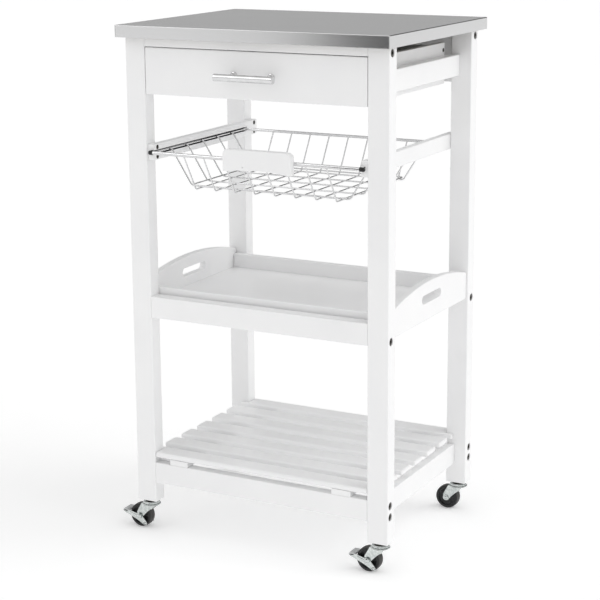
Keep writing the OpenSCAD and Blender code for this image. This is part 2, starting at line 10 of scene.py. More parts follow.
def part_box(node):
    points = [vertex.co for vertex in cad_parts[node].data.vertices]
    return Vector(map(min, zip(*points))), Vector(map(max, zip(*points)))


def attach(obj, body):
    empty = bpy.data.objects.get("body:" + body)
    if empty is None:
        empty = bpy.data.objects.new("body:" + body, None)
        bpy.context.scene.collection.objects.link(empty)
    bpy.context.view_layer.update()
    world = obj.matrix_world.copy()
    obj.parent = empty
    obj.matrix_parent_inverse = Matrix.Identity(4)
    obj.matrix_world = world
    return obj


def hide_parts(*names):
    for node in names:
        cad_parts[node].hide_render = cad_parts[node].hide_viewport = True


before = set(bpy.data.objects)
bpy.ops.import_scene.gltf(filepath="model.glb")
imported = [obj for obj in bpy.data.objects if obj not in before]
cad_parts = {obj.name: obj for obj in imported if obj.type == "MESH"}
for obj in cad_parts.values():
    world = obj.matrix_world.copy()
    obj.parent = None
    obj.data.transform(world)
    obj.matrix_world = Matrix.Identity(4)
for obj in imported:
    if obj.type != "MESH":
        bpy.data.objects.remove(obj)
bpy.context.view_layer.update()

MM = 0.001
CORNERS = ("front_left", "front_right", "rear_left", "rear_right")

# Angle in degrees from which an edge between two faces looks sharp
CREASE = 35

# Rounded edges of the wooden pieces
LEG_EDGE = 1.6
RAIL_EDGE = 1.4
BASKET_RAIL_EDGE = 1.2
SLAT_EDGE = 2.8
DRAWER_EDGE = 1.5
TRAY_EDGE = 1.6
GRIP_EDGE = 1.8
INNER_EDGE = 0.8

# Holes for the fasteners
HOLE_LIP = 0.4
BOLT_SUNK = 3
BOLT_HOLE_R = 6.2
NUT_HOLE_R = 4.6
SCREW_SUNK = 2.4
SCREW_HOLE_R = 3.6

# Basket, as the CAD part has it
RIM_D = 5
ROD_D = 6
WIRE_D = 2.6
LEAN_X = 43
LEAN_Y = 35
KNEE = 7
RIM_IN_GROOVE = 3
GROOVE_H = 7
GROOVE_DEPTH = 6.5
GROOVE_PAST_RIM = 3

# In wire diameters: the ball at each bend of a CAD wire, and the step between crossing wires
BEND_BALL = 1.15
WIRE_LAYER = 1.02

# Casters, as the CAD part has them
TRAIL = 18
AXLE_Z = 20
WHEEL_R = 20
FORK_SHEET = 1.6
BRAKE_SHEET = 1.4


# ---------- the frame's boxes, in millimetres ----------

def span(node):
    """Lowest and highest corner of a CAD node."""
    low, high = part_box(node)
    return low / MM, high / MM


def solids(node):
    """Boxes of the separate solids in a CAD node, ordered by place."""
    bm = bmesh.new()
    bm.from_mesh(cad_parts[node].data)
    bmesh.ops.remove_doubles(bm, verts=bm.verts, dist=1e-6)
    left = set(bm.verts)
    boxes = []
    while left:
        places = []
        to_visit = [left.pop()]
        while to_visit:
            vert = to_visit.pop()
            places.append(vert.co / MM)
            for edge in vert.link_edges:
                other = edge.other_vert(vert)
                if other in left:
                    left.remove(other)
                    to_visit.append(other)
        low = Vector([min(co[i] for co in places) for i in range(3)])
        high = Vector([max(co[i] for co in places) for i in range(3)])
        boxes.append((low, high))
    bm.free()
    return sorted(boxes, key=lambda box: tuple(round(c) for c in box[0]))


def middle(box):
    return (box[0] + box[1]) / 2


def runs_along_x(box):
    """Says whether a fastener is longer along X than along Y."""
    size = box[1] - box[0]
    return size.x > size.y


# ---------- materials ----------

def add(tree, kind, inputs, **settings):
    """Adds a shader node. An input is a value or another node's output."""
    made = tree.nodes.new(kind)
    for name, value in settings.items():
        setattr(made, name, value)
    for name, value in inputs.items():
        if isinstance(value, bpy.types.NodeSocket):
            tree.links.new(value, made.inputs[name])
        else:
            made.inputs[name].default_value = value
    return made


def noise(tree, per_metre, detail=3, roughness=0.5):
    """Noise with that many features per metre, as one count or as counts for X, Y and Z."""
    if isinstance(per_metre, (int, float)):
        per_metre = [per_metre] * 3
    place = add(tree, "ShaderNodeTexCoord", {}).outputs["Object"]
    scaled = add(tree, "ShaderNodeMapping", {
        "Vector": place, "Scale": per_metre, "Location": (0.37, 0.61, 0.23)})
    made = add(tree, "ShaderNodeTexNoise", {
        "Vector": scaled.outputs["Vector"], "Scale": 1,
        "Detail": detail, "Roughness": roughness, "Lacunarity": 2.17})
    return made.outputs["Fac"]


def spread(tree, value, low, high):
    """Maps the middle of a noise to the range from low to high."""
    made = add(tree, "ShaderNodeMapRange", {
        "Value": value, "From Min": 0.3, "From Max": 0.7, "To Min": low, "To Max": high})
    return made.outputs["Result"]


def ramp(tree, value, colour_a, colour_b, start=0.3, end=0.7):
    """Blends from one colour to another as a value goes from start to end."""
    made = add(tree, "ShaderNodeValToRGB", {"Fac": value})
    first, last = made.color_ramp.elements
    first.position = start
    last.position = end
    first.color = (*colour_a, 1)
    last.color = (*colour_b, 1)
    return made.outputs["Color"]


def relief(tree, height, depth_mm, below=None):
    """Bumps as high as depth_mm, on top of another relief if one is given."""
    inputs = {"Height": height, "Strength": 1, "Distance": depth_mm * MM}
    if below is not None:
        inputs["Normal"] = below
    return add(tree, "ShaderNodeBump", inputs).outputs["Normal"]


def new_material(name, **constants):
    """A material, its node tree and its shader, with constants set on the shader's sockets."""
    material = bpy.data.materials.new(name)
    material.use_nodes = True
    shader = material.node_tree.nodes["Principled BSDF"]
    for socket, value in constants.items():
        shader.inputs[socket.replace("_", " ")].default_value = value
    return material, material.node_tree, shader


def connect(tree, shader, colour, roughness, normal):
    tree.links.new(colour, shader.inputs["Base Color"])
    tree.links.new(roughness, shader.inputs["Roughness"])
    tree.links.new(normal, shader.inputs["Normal"])


def grey(value):
    return (value, value, value)


def along(axis, with_grain, across):
    """Feature counts for a grain that runs along one axis."""
    return [with_grain if name == axis else across for name in "XYZ"]


def white_paint(axis):
    """Satin white lacquer over wood, with the grain just showing through."""
    material, tree, shader = new_material(
        "white_paint_" + axis.lower(), Coat_Weight=0.2, Coat_Roughness=0.25,
        Specular_IOR_Level=0.45)
    grain = noise(tree, along(axis, 5, 260), detail=4, roughness=0.6)
    mottle = noise(tree, 9, detail=2)
    peel = noise(tree, 420, detail=2)
    colour = ramp(tree, mottle, (0.895, 0.895, 0.90), grey(0.925))
    roughness = spread(tree, peel, 0.30, 0.42)
    normal = relief(tree, peel, 0.02, relief(tree, grain, 0.05))
    connect(tree, shader, colour, roughness, normal)
    return material


def bare_wood(name, axis, dark, light):
    """Unpainted board with long grain."""
    material, tree, shader = new_material(name, Specular_IOR_Level=0.3)
    grain = noise(tree, along(axis, 4, 170), detail=6, roughness=0.65)
    pores = noise(tree, along(axis, 40, 1500), detail=2)
    colour = ramp(tree, grain, dark, light)
    roughness = spread(tree, pores, 0.55, 0.75)
    connect(tree, shader, colour, roughness, relief(tree, pores, 0.06))
    return material


def brushed_steel():
    """Stainless sheet, brushed along X."""
    material, tree, shader = new_material("brushed_stainless", Metallic=1)
    lines = noise(tree, along("X", 2.5, 900), detail=4, roughness=0.7)
    cloud = noise(tree, along("X", 5, 9), detail=2)
    colour = ramp(tree, lines, (0.62, 0.62, 0.625), grey(0.70))
    roughness = spread(tree, lines, 0.17, 0.26)
    normal = relief(tree, cloud, 0.05, relief(tree, lines, 0.003))
    connect(tree, shader, colour, roughness, normal)
    return material


def chrome():
    """Bright chrome plate on wires, bar and posts."""
    material, tree, shader = new_material("chrome_plate", Metallic=1)
    haze = noise(tree, 160, detail=3)
    wave = noise(tree, 60, detail=1)
    colour = ramp(tree, haze, (0.68, 0.68, 0.685), (0.76, 0.76, 0.765))
    roughness = spread(tree, haze, 0.06, 0.14)
    connect(tree, shader, colour, roughness, relief(tree, wave, 0.03))
    return material


def zinc():
    """Pressed steel, bright zinc plated, with a faint blue green cast."""
    material, tree, shader = new_material("zinc_plate", Metallic=1)
    cloud = noise(tree, 240, detail=4)
    grit = noise(tree, 1400, detail=2)
    colour = ramp(tree, cloud, (0.50, 0.535, 0.525), (0.72, 0.745, 0.735))
    roughness = spread(tree, grit, 0.16, 0.30)
    connect(tree, shader, colour, roughness, relief(tree, cloud, 0.05))
    return material


def dark_steel():
    """Blackened fasteners. It also paints the shade in the middle of the caster cups."""
    material, tree, shader = new_material("dark_steel", Metallic=0.8)
    cloud = noise(tree, 500, detail=3)
    colour = ramp(tree, cloud, (0.030, 0.027, 0.024), (0.075, 0.068, 0.060))
    roughness = spread(tree, cloud, 0.34, 0.52)
    connect(tree, shader, colour, roughness, relief(tree, cloud, 0.03))
    return material


def moulded_plastic(name, dark, light, rough):
    """Plastic with a fine moulded grain."""
    material, tree, shader = new_material(name, Specular_IOR_Level=0.5)
    cloud = noise(tree, 90, detail=3)
    grit = noise(tree, 2200, detail=2)
    colour = ramp(tree, cloud, dark, light)
    roughness = spread(tree, cloud, rough, rough + 0.12)
    connect(tree, shader, colour, roughness, relief(tree, grit, 0.01))
    return material


def paper(name, patches, dark, light, **constants):
    """Plain grey or white paper with a faint mottle of that many patches per metre."""
    material, tree, shader = new_material(name, **constants)
    cloud = noise(tree, patches, detail=1)
    colour = ramp(tree, cloud, grey(dark), grey(light))
    tree.links.new(colour, shader.inputs["Base Color"])
    return material


PAINT = {axis: white_paint(axis) for axis in "XYZ"}
# A dark neutral grey in place of tan board: painted shade under the worktop, which also keeps a
# brown cast off the white parts.
SHADED_BOARD_CORE = bare_wood("shaded_board_core", "X", (0.20, 0.185, 0.165), (0.31, 0.29, 0.26))
RUNNER_WOOD = bare_wood("runner_wood", "Y", (0.56, 0.47, 0.36), (0.70, 0.62, 0.50))
STEEL = brushed_steel()
CHROME = chrome()
ZINC = zinc()
DARK = dark_steel()
BLACK = moulded_plastic("black_plastic", (0.003, 0.0035, 0.004), (0.007, 0.0075, 0.008), 0.3)
TREAD = moulded_plastic("tread_plastic", (0.030, 0.029, 0.028), (0.055, 0.053, 0.050), 0.5)
PAD = moulded_plastic("pad_plastic", (0.56, 0.57, 0.57), (0.66, 0.67, 0.67), 0.4)


# ---------- mesh helpers, in millimetres ----------

def to_object(name, bm, material, crease=CREASE):
    """Makes an object of a bmesh, smooth except where faces meet at more than crease degrees."""
    bmesh.ops.scale(bm, vec=(MM, MM, MM), verts=bm.verts)
    bmesh.ops.recalc_face_normals(bm, faces=bm.faces)
    mesh = bpy.data.meshes.new(name)
    bm.to_mesh(mesh)
    bm.free()
    mesh.materials.append(material)
    mesh.shade_smooth()
    mesh.set_sharp_from_angle(angle=math.radians(crease))
    obj = bpy.data.objects.new(name, mesh)
    bpy.context.scene.collection.objects.link(obj)
    return obj


def pattern(obj):
    """Turns an object back into a bmesh in millimetres."""
    bm = bmesh.new()
    bm.from_mesh(obj.data)
    bmesh.ops.scale(bm, vec=(1 / MM, 1 / MM, 1 / MM), verts=bm.verts)
    bpy.data.objects.remove(obj)
    return bm


def even_normals(obj):
    """Keeps flat faces flat beside their rounded edges."""
    modifier = obj.modifiers.new("even_normals", "WEIGHTED_NORMAL")
    modifier.keep_sharp = True
    return obj


def settle(obj):
    """Applies the modifiers of an object."""
    graph = bpy.context.evaluated_depsgraph_get()
    mesh = bpy.data.meshes.new_from_object(obj.evaluated_get(graph), depsgraph=graph)
    obj.modifiers.clear()
    obj.data = mesh


def cut(obj, cutters):
    """Takes closed bmeshes away from an object."""
    for bm in cutters:
        tool = to_object("cutter", bm, obj.data.materials[0])
        modifier = obj.modifiers.new("cut", "BOOLEAN")
        modifier.operation = "DIFFERENCE"
        modifier.solver = "EXACT"
        modifier.object = tool
        settle(obj)
        bpy.data.objects.remove(tool)
    obj.data.shade_smooth()
    obj.data.set_sharp_from_angle(angle=math.radians(CREASE))


def piece(obj, body, slot, *replaced):
    """Gives an object its body and hides the CAD nodes that it stands for. The slot argument is
    not used.
    """
    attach(obj, body)
    if replaced:
        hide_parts(*replaced)
    return obj


def block(low, high, edge, segments=3):
    """A box with rounded edges."""
    low, high = Vector(low), Vector(high)
    bm = bmesh.new()
    place = Matrix.Translation((low + high) / 2) @ Matrix.Diagonal((*(high - low), 1))
    bmesh.ops.create_cube(bm, size=1, matrix=place)
    if edge:
        bmesh.ops.bevel(bm, geom=bm.edges[:], offset=edge, segments=segments, profile=0.5,
                        affect="EDGES", clamp_overlap=True)
    return bm


def loft(rings, loop=False):
    """Joins rings of points into a closed surface, or into a loop of rings."""
    bm = bmesh.new()
    rows = [[bm.verts.new(point) for point in ring] for ring in rings]
    pairs = list(zip(rows, rows[1:]))
    if loop:
        pairs.append((rows[-1], rows[0]))
    for lower, upper in pairs:
        for i in range(len(lower)):
            j = (i + 1) % len(lower)
            bm.faces.new((lower[i], lower[j], upper[j], upper[i]))
    if not loop:
        bm.faces.new(rows[0])
        bm.faces.new(reversed(rows[-1]))
    return bm


def circle(centre, across, up, radius, sides):
    """Points round a centre, in the plane of two directions."""
    ring = []
    for i in range(sides):
        turn = 2 * math.pi * i / sides
        ring.append(centre + (across * math.cos(turn) + up * math.sin(turn)) * radius)
    return ring


def axes_of(axis):
    """Two directions across an axis, and the axis itself."""
    x, y, z = Vector((1, 0, 0)), Vector((0, 1, 0)), Vector((0, 0, 1))
    return {"X": (y, z, x), "Y": (z, x, y), "Z": (x, y, z)}[axis]


def lathe(profile, place, axis, segments=48, loop=False):
    """Turns a profile of (radius, height) points about an axis through place."""
    smallest = 0.01
    across, up, out = axes_of(axis)
    rings = []
    for radius, height in profile:
        centre = Vector(place) + out * height
        rings.append(circle(centre, across, up, max(radius, smallest), segments))
    return loft(rings, loop)


def mirrored(profile):
    """The same profile with its heights the other way round."""
    return [(radius, -height) for radius, height in profile]


def arc(centre, radius, start, end, steps):
    """Points on an arc between two angles in degrees."""
    points = []
    for i in range(steps + 1):
        turn = math.radians(start + (end - start) * i / steps)
        points.append((centre[0] + radius * math.cos(turn), centre[1] + radius * math.sin(turn)))
    return points


def arch(half, sag):
    """Radius of an arch over a half width, and half its angle in degrees."""
    radius = (half * half + sag * sag) / (2 * sag)
    return radius, math.degrees(math.asin(half / radius))


def plate(outline, plane, low, high, edge, segments=2):
    """An outline in the XY, XZ or YZ plane, thick from low to high, with rounded edges."""
    def lifted(point, level):
        a, b = point
        return {"XY": (a, b, level), "XZ": (a, level, b), "YZ": (level, a, b)}[plane]

    bm = loft([[lifted(p, level) for p in outline] for level in (low, high)])
    bmesh.ops.recalc_face_normals(bm, faces=bm.faces)
    sharp = [e for e in bm.edges if e.calc_face_angle(0) > math.radians(25)]
    bmesh.ops.bevel(bm, geom=sharp, offset=edge, segments=segments, profile=0.5,
                    affect="EDGES", clamp_overlap=True)
    return bm


def hole(face_point, out, across, depth, radius, reach=0, through=False):
    """A cutter for a hole with a rounded mouth, or for a slot that reaches along across.

    out points away from the wood, and depth is the hole's, or the wood's if it goes through.
    """
    above, steps, sides = 1.0, 4, 48
    out, across = Vector(out), Vector(across)
    up = out.cross(across)
    levels = [(above, radius + HOLE_LIP)]
    for i in range(steps + 1):
        turn = math.pi / 2 * i / steps
        height = -HOLE_LIP * (1 - math.cos(turn))
        levels.append((height, radius + HOLE_LIP * (1 - math.sin(turn))))
    if through:
        levels += [(-depth - height, size) for height, size in reversed(levels)]
    else:
        levels.append((-depth, radius))
    rings = []
    for height, size in levels:
        ring = []
        for i in range(sides):
            turn = 2 * math.pi * (i + 0.5) / sides
            sideways = size * math.cos(turn) + math.copysign(reach, math.cos(turn))
            ring.append(Vector(face_point) + out * height + across * sideways
                        + up * (size * math.sin(turn)))
        rings.append(ring)
    return loft(rings)


def rounded_path(points, radius, steps=6, loop=False):
    """A path through points, with its corners rounded."""
    points = [Vector(p) for p in points]
    count = len(points)
    path = []
    for i, corner in enumerate(points):
        if not loop and i in (0, count - 1):
            path.append(corner)
            continue
        before, after = points[i - 1], points[(i + 1) % count]
        reach = min(radius, (before - corner).length / 2.1, (after - corner).length / 2.1)
        start = corner + (before - corner).normalized() * reach
        end = corner + (after - corner).normalized() * reach
        for j in range(steps + 1):
            t = j / steps
            path.append(start.lerp(corner, t).lerp(corner.lerp(end, t), t))
    return path


def tube(path, diameter, sides=14, loop=False):
    """A round wire along a path, with softened ends."""
    full_r, end_r, soft = diameter / 2, diameter * 0.36, 0.14
    count = len(path)
    across = None
    rings = []
    for i, point in enumerate(path):
        ahead = path[(i + 1) % count] if loop or i < count - 1 else point
        behind = path[i - 1] if loop or i > 0 else point
        way = (ahead - behind).normalized()
        if across is None:
            across = way.orthogonal().normalized()
        across = (across - way * across.dot(way)).normalized()
        up = way.cross(across)
        places = [(point, full_r)]
        if not loop and i == 0:
            places = [(point, end_r), (point + way * diameter * soft, full_r)]
        if not loop and i == count - 1:
            places = [(point - way * diameter * soft, full_r), (point, end_r)]
        for centre, radius in places:
            rings.append(circle(centre, across, up, radius, sides))
    return loft(rings, loop)


def copies(bm, places):
    """One bmesh with a copy of bm at each matrix."""
    mesh = bpy.data.meshes.new("copied")
    bm.to_mesh(mesh)
    bm.free()
    joined = bmesh.new()
    for matrix in places:
        moved = mesh.copy()
        moved.transform(matrix)
        joined.from_mesh(moved)
        bpy.data.meshes.remove(moved)
    bpy.data.meshes.remove(mesh)
    return joined


def facing(direction, place):
    """A matrix that turns +Z to a direction and moves the origin to a place."""
    turn = Vector(direction).to_track_quat("Z", "Y").to_matrix().to_4x4()
    return Matrix.Translation(place) @ turn


def board(node, body, axis, edge, cutters=()):
    """A painted board with rounded edges in the place of a CAD node."""
    low, high = span(node)
    obj = to_object(node + "_board", block(low, high, edge), PAINT[axis])
    cut(obj, cutters)
    return piece(even_normals(obj), body, "white_paint", node)


# ---------- worktop ----------

def worktop():
    """The folded steel sheet, and the look of the board inside it."""
    fold_r, sheet_t = 1.4, 0.8
    low, high = span("steel_top")
    bm = block(low, high, 0)
    rim = [e for e in bm.edges if max(v.co.z for v in e.verts) > low.z + 1]
    bmesh.ops.bevel(bm, geom=rim, offset=fold_r, segments=4, profile=0.5, affect="EDGES")
    under = [f for f in bm.faces if f.calc_center_median().z < low.z + 0.1]
    bmesh.ops.delete(bm, geom=under, context="FACES")
    obj = to_object("steel_worktop", bm, STEEL)
    sheet = obj.modifiers.new("sheet", "SOLIDIFY")
    sheet.thickness = sheet_t * MM
    sheet.offset = -1
    settle(obj)
    cut(obj, corner_seams(low, high))
    piece(even_normals(obj), "frame", "stainless", "steel_top")
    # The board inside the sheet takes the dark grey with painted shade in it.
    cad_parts["top_board"].data.materials[0] = SHADED_BOARD_CORE


def corner_seams(low, high):
    """Cutters for the fine seams where the folded lips meet at the corners."""
    seam_in, seam_w, seam_deep, below_top = 1.9, 0.35, 0.45, 1.2
    seams = []
    for side in (-1, 1):
        for y in (low.y, high.y):
            x = side * (high.x - seam_in)
            seams.append(block((x - seam_w / 2, y - seam_deep, low.z - 1),
                               (x + seam_w / 2, y + seam_deep, high.z - below_top), 0))
    return seams


# ---------- frame ----------

def bolt_holes(node):
    """Cutters for the sunk bolt heads on the outer face of a leg."""
    low, high = span(node)
    towards_head = 15
    cutters = []
    for box in solids("frame_bolts"):
        centre = middle(box)
        side = math.copysign(1, centre.x)
        if low.y < centre.y < high.y and low.x < centre.x + side * towards_head < high.x:
            face = high.x if side > 0 else low.x
            cutters.append(hole((face, centre.y, centre.z), (side, 0, 0), (0, 1, 0),
                                BOLT_SUNK, BOLT_HOLE_R))
    return cutters


def nut_holes(node, inward):
    """Cutters for the barrel nuts on the hidden face of a bolted rail."""
    low, high = span(node)
    face = high.y if inward > 0 else low.y
    cutters = []
    for box in solids("barrel_nuts"):
        centre = middle(box)
        if low.y < centre.y < high.y and low.z < centre.z < high.z:
            deep = abs(face - (box[0].y if inward > 0 else box[1].y))
            cutters.append(hole((centre.x, face, centre.z), (0, inward, 0), (1, 0, 0),
                                deep, NUT_HOLE_R))
    return cutters


def screw_hole(face, box, way):
    """A cutter for a screw head, sunk in a face across X that looks the given way."""
    centre = middle(box)
    return hole((face, centre.y, centre.z), (way, 0, 0), (0, 1, 0), SCREW_SUNK, SCREW_HOLE_R)


def legs():
    for corner in CORNERS:
        node = "leg_" + corner
        board(node, "frame", "Z", LEG_EDGE, bolt_holes(node))


def rails():
    for node, inward in (("front_top_rail", 1), ("tray_rail_front", 1), ("low_rail_front", 1),
                         ("rear_top_rail", -1), ("tray_rail_rear", -1), ("low_rail_rear", -1)):
        board(node, "frame", "X", RAIL_EDGE, nut_holes(node, inward))
    for node in ("apron_left", "apron_right", "low_rail_left", "low_rail_right"):
        board(node, "frame", "Y", RAIL_EDGE)
    board("rear_panel", "frame", "X", INNER_EDGE)


def strips(node, edge, material, slot="white_paint"):
    """The separate strips of one CAD node in the frame."""
    for number, (low, high) in enumerate(solids(node), 1):
        name = f"{node}_{number}"
        obj = to_object(name, block(low, high, edge), material)
        piece(even_normals(obj), "frame", slot, node)


def basket_rails():
    """Two rails with a groove for the basket's rim and sunk screws."""
    rim_back = span("basket_frame")[1].y
    for side, node in ((-1, "basket_rail_left"), (1, "basket_rail_right")):
        low, high = span(node)
        face = low.x if side > 0 else high.x
        mid_z = (low.z + high.z) / 2
        groove_x = sorted((face - side, face + side * GROOVE_DEPTH))
        cutters = [block((groove_x[0], low.y - 1, mid_z - GROOVE_H / 2),
                         (groove_x[1], rim_back + GROOVE_PAST_RIM, mid_z + GROOVE_H / 2), 0)]
        for box in solids("rail_screws"):
            if middle(box).x * side > 0:
                cutters.append(screw_hole(face, box, -side))
        rail = board(node, "frame", "Y", BASKET_RAIL_EDGE, cutters)
        shade_groove(rail, face, side, mid_z)


def shade_groove(rail, face, side, mid_z):
    """Paints the walls of a basket rail's groove black, from 1.5 mm in from its face: painted
    shade in the groove, which the chrome rim in it mirrors too.
    """
    shade_from, slack = 1.5, 0.05
    # The black on the groove walls is painted shade, not a liner.
    rail.data.materials.append(BLACK)
    for polygon in rail.data.polygons:
        centre = polygon.center / MM
        in_depth = shade_from < (centre.x - face) * side < GROOVE_DEPTH + 2 * slack
        in_height = abs(centre.z - mid_z) < GROOVE_H / 2 + slack
        if in_depth and in_height and abs(polygon.normal.y) < 0.5:
            polygon.material_index = 1


def end_slat(node, leg):
    """A slat with its outer corners notched round the legs. The one leg stands for both."""
    clear = 0.5
    low, high = span(node)
    leg_low, leg_high = span(leg)
    notch_x = leg_low.x - clear
    if node == "slat_front":
        inner, outer = high.y, low.y
        notch_y = leg_high.y + clear
    else:
        inner, outer = low.y, high.y
        notch_y = leg_low.y - clear
    half = [(notch_x, outer), (notch_x, notch_y), (high.x, notch_y), (high.x, inner)]
    outline = half + [(-x, y) for x, y in reversed(half)]
    bm = plate(outline, "XY", low.z, high.z, SLAT_EDGE, 3)
    obj = to_object(node + "_board", bm, PAINT["X"])
    piece(even_normals(obj), "frame", "white_paint", node)


def shelf():
    """The slatted shelf, and the other strips that come in sets."""
    end_slat("slat_front", "leg_front_right")
    end_slat("slat_rear", "leg_rear_right")
    strips("slats_middle", SLAT_EDGE, PAINT["X"])
    strips("battens", INNER_EDGE, PAINT["Y"])
    strips("tray_cleats", INNER_EDGE, PAINT["X"])
    strips("drawer_runners", INNER_EDGE, RUNNER_WOOD, "bare_wood")


# ---------- fasteners ----------

def bolt():
    """A bolt along +Z with a low domed head and a hex socket. The head's top is at the origin."""
    length, head_t, head_r, shank_r = 56.5, 2.4, 6, 3
    dome, socket_r, socket_deep = 1.3, 2.3, 1.5
    profile = [(shank_r - 0.8, -length), (shank_r, -length + 0.8), (shank_r, -head_t),
               (head_r - 0.2, -head_t), (head_r, -head_t + 0.3), (head_r, -dome)]
    profile += [(head_r * math.cos(math.radians(a)), -dome + dome * math.sin(math.radians(a)))
                for a in (20, 40, 55, 65)]
    profile.append((0, 0))
    obj = to_object("bolt_pattern", lathe(profile, (0, 0, 0), "Z"), DARK)
    socket = [(socket_r, -socket_deep), (socket_r, 1)]
    cut(obj, [lathe(socket, (0, 0, 0), "Z", segments=6)])
    return pattern(obj)


def screw():
    """A wood screw along +Z with a cross recess. The head's top is at the origin."""
    length, head_r, shank_r = 24, 3.5, 1.7
    profile = [(0.2, -length), (shank_r, -length + 5), (shank_r, -2.3), (head_r - 0.4, -0.8),
               (head_r, -0.4), (head_r - 0.15, -0.1), (head_r * 0.6, 0), (0, 0)]
    obj = to_object("screw_pattern", lathe(profile, (0, 0, 0), "Z", segments=32), DARK)
    arm, half, deep = head_r * 0.58, 0.38, 1.2
    cut(obj, [block((-arm, -half, -deep), (arm, half, 1), 0),
              block((-half, -arm, -deep), (half, arm, 1), 0)])
    return pattern(obj)


def barrel_nut():
    """A barrel nut along Z with a screwdriver slot. Its slotted end is at the origin."""
    length, radius, soft = 12, 4.5, 0.4
    slot_half, slot_deep = 0.6, 1.2
    profile = [(radius - soft, -length), (radius, -length + soft), (radius, -soft),
               (radius - soft, 0), (0, 0)]
    obj = to_object("nut_pattern", lathe(profile, (0, 0, 0), "Z", segments=32), ZINC)
    cut(obj, [block((-radius - 0.5, -slot_half, -slot_deep), (radius + 0.5, slot_half, 1), 0)])
    return pattern(obj)


def at_end(box, axis, way):
    """Turns +Z along X (axis 0) or Y (axis 1), and moves the origin to that end of a box."""
    place = middle(box)
    place[axis] = box[1][axis] if way > 0 else box[0][axis]
    direction = [0, 0, 0]
    direction[axis] = way
    return facing(direction, place)


def fasten(name, made, material, node, body, slot, place_of):
    """One piece with a copy of a fastener for each solid of a CAD node."""
    places = [place_of(box) for box in solids(node)]
    piece(to_object(name, copies(made, places), material), body, slot, node)


def fasteners():
    """Bolts and drawer screws go in from outside, rail screws and nuts from inside."""
    middle_y = (span("leg_front_left")[1].y + span("leg_rear_left")[0].y) / 2

    def outward(box):
        return at_end(box, 0, math.copysign(1, middle(box).x))

    def inward(box):
        return at_end(box, 0, -math.copysign(1, middle(box).x))

    def nut_place(box):
        return at_end(box, 1, 1 if middle(box).y < middle_y else -1)

    def drawer_place(box):
        return outward(box) if runs_along_x(box) else at_end(box, 1, 1)

    fasten("bolts", bolt(), DARK, "frame_bolts", "frame", "dark_steel", outward)
    fasten("nuts", barrel_nut(), ZINC, "barrel_nuts", "frame", "zinc", nut_place)
    fasten("rail_fixings", screw(), DARK, "rail_screws", "frame", "dark_steel", inward)
    fasten("drawer_fixings", screw(), DARK, "drawer_screws", "drawer", "dark_steel", drawer_place)


# ---------- drawer ----------

def drawer():
    board("drawer_front", "drawer", "X", DRAWER_EDGE)
    board("drawer_back", "drawer", "X", INNER_EDGE)
    drawer_side("drawer_side_left", -1)
    drawer_side("drawer_side_right", 1)
    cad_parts["drawer_bottom"].data.materials[0] = PAINT["X"]
    handle()


def drawer_side(node, side):
    """A side board with the groove for its runner and the sunk heads of its back screws."""
    groove_depth, clear = 6, 0.3
    low, high = span(node)
    runner_low, runner_high = span("drawer_runners")
    face = high.x if side > 0 else low.x
    groove_x = sorted((face + side, face - side * groove_depth))
    cutters = [block((groove_x[0], low.y - 1, runner_low.z - clear),
                     (groove_x[1], high.y + 1, runner_high.z + clear), 0)]
    for box in solids("drawer_screws"):
        if runs_along_x(box) and middle(box).x * side > 0:
            cutters.append(screw_hole(face, box, side))
    board(node, "drawer", "Y", INNER_EDGE, cutters)


def handle():
    """A round bar on two turned posts."""
    bar_r, soft, post_x = 5.75, 1.1, 32
    low, high = span("drawer_handle")
    bar_y = low.y + bar_r
    bar_z = (low.z + high.z) / 2
    half = high.x
    end = [(r, h) for h, r in arc((half - soft, bar_r - soft), soft, 0, 90, 3)]
    profile = [(0, half)] + end + mirrored(reversed(end)) + [(0, -half)]
    bar = to_object("handle_bar", lathe(profile, (0, bar_y, bar_z), "X", 64), CHROME)
    piece(even_normals(bar), "drawer", "chrome", "drawer_handle")
    reach = high.y - bar_y
    post = [(6.5, 0), (6.5, -1.2), (6.1, -1.8), (5.2, -2.1), (4.4, -2.8), (4.0, -4.0),
            (3.7, -8.0), (3.7, -reach + 7), (4.2, -reach + 4), (4.6, -reach + 1), (4.6, -reach)]
    for name, x in (("left", -post_x), ("right", post_x)):
        obj = to_object("handle_post_" + name, lathe(post, (x, high.y, bar_z), "Y"), CHROME)
        piece(even_normals(obj), "drawer", "chrome")


# ---------- basket ----------

def wire_piece(name, bm, *replaced):
    return piece(even_normals(to_object(name, bm, CHROME)), "basket", "chrome", *replaced)


def basket():
    """Front rod and rim, then the wires that hang from them, then grip and caps."""
    low, high = span("basket_frame")
    rim_z = (low.z + high.z) / 2
    front_y = low.y + ROD_D / 2
    back_y = high.y - BEND_BALL * RIM_D / 2
    rim_x = span("basket_rail_right")[0].x + RIM_IN_GROOVE
    rod = rounded_path([(-high.x, front_y, rim_z), (high.x, front_y, rim_z)], 0)
    wire_piece("basket_rod", tube(rod, ROD_D, 24), "basket_frame")
    rim = rounded_path([(-rim_x, front_y, rim_z), (-rim_x, back_y, rim_z),
                        (rim_x, back_y, rim_z), (rim_x, front_y, rim_z)], 6, 8)
    wire_piece("basket_rim", tube(rim, RIM_D, 20))

    floor_z = span("basket_wires")[0].z + BEND_BALL * WIRE_D / 2
    layer = WIRE_LAYER * WIRE_D
    basket_wires(rim_x, rim_z, front_y, back_y, floor_z, layer)
    basket_ring(rim_x - LEAN_X, front_y + LEAN_Y, back_y - LEAN_Y, floor_z + 2 * layer)
    basket_grip()
    basket_caps()


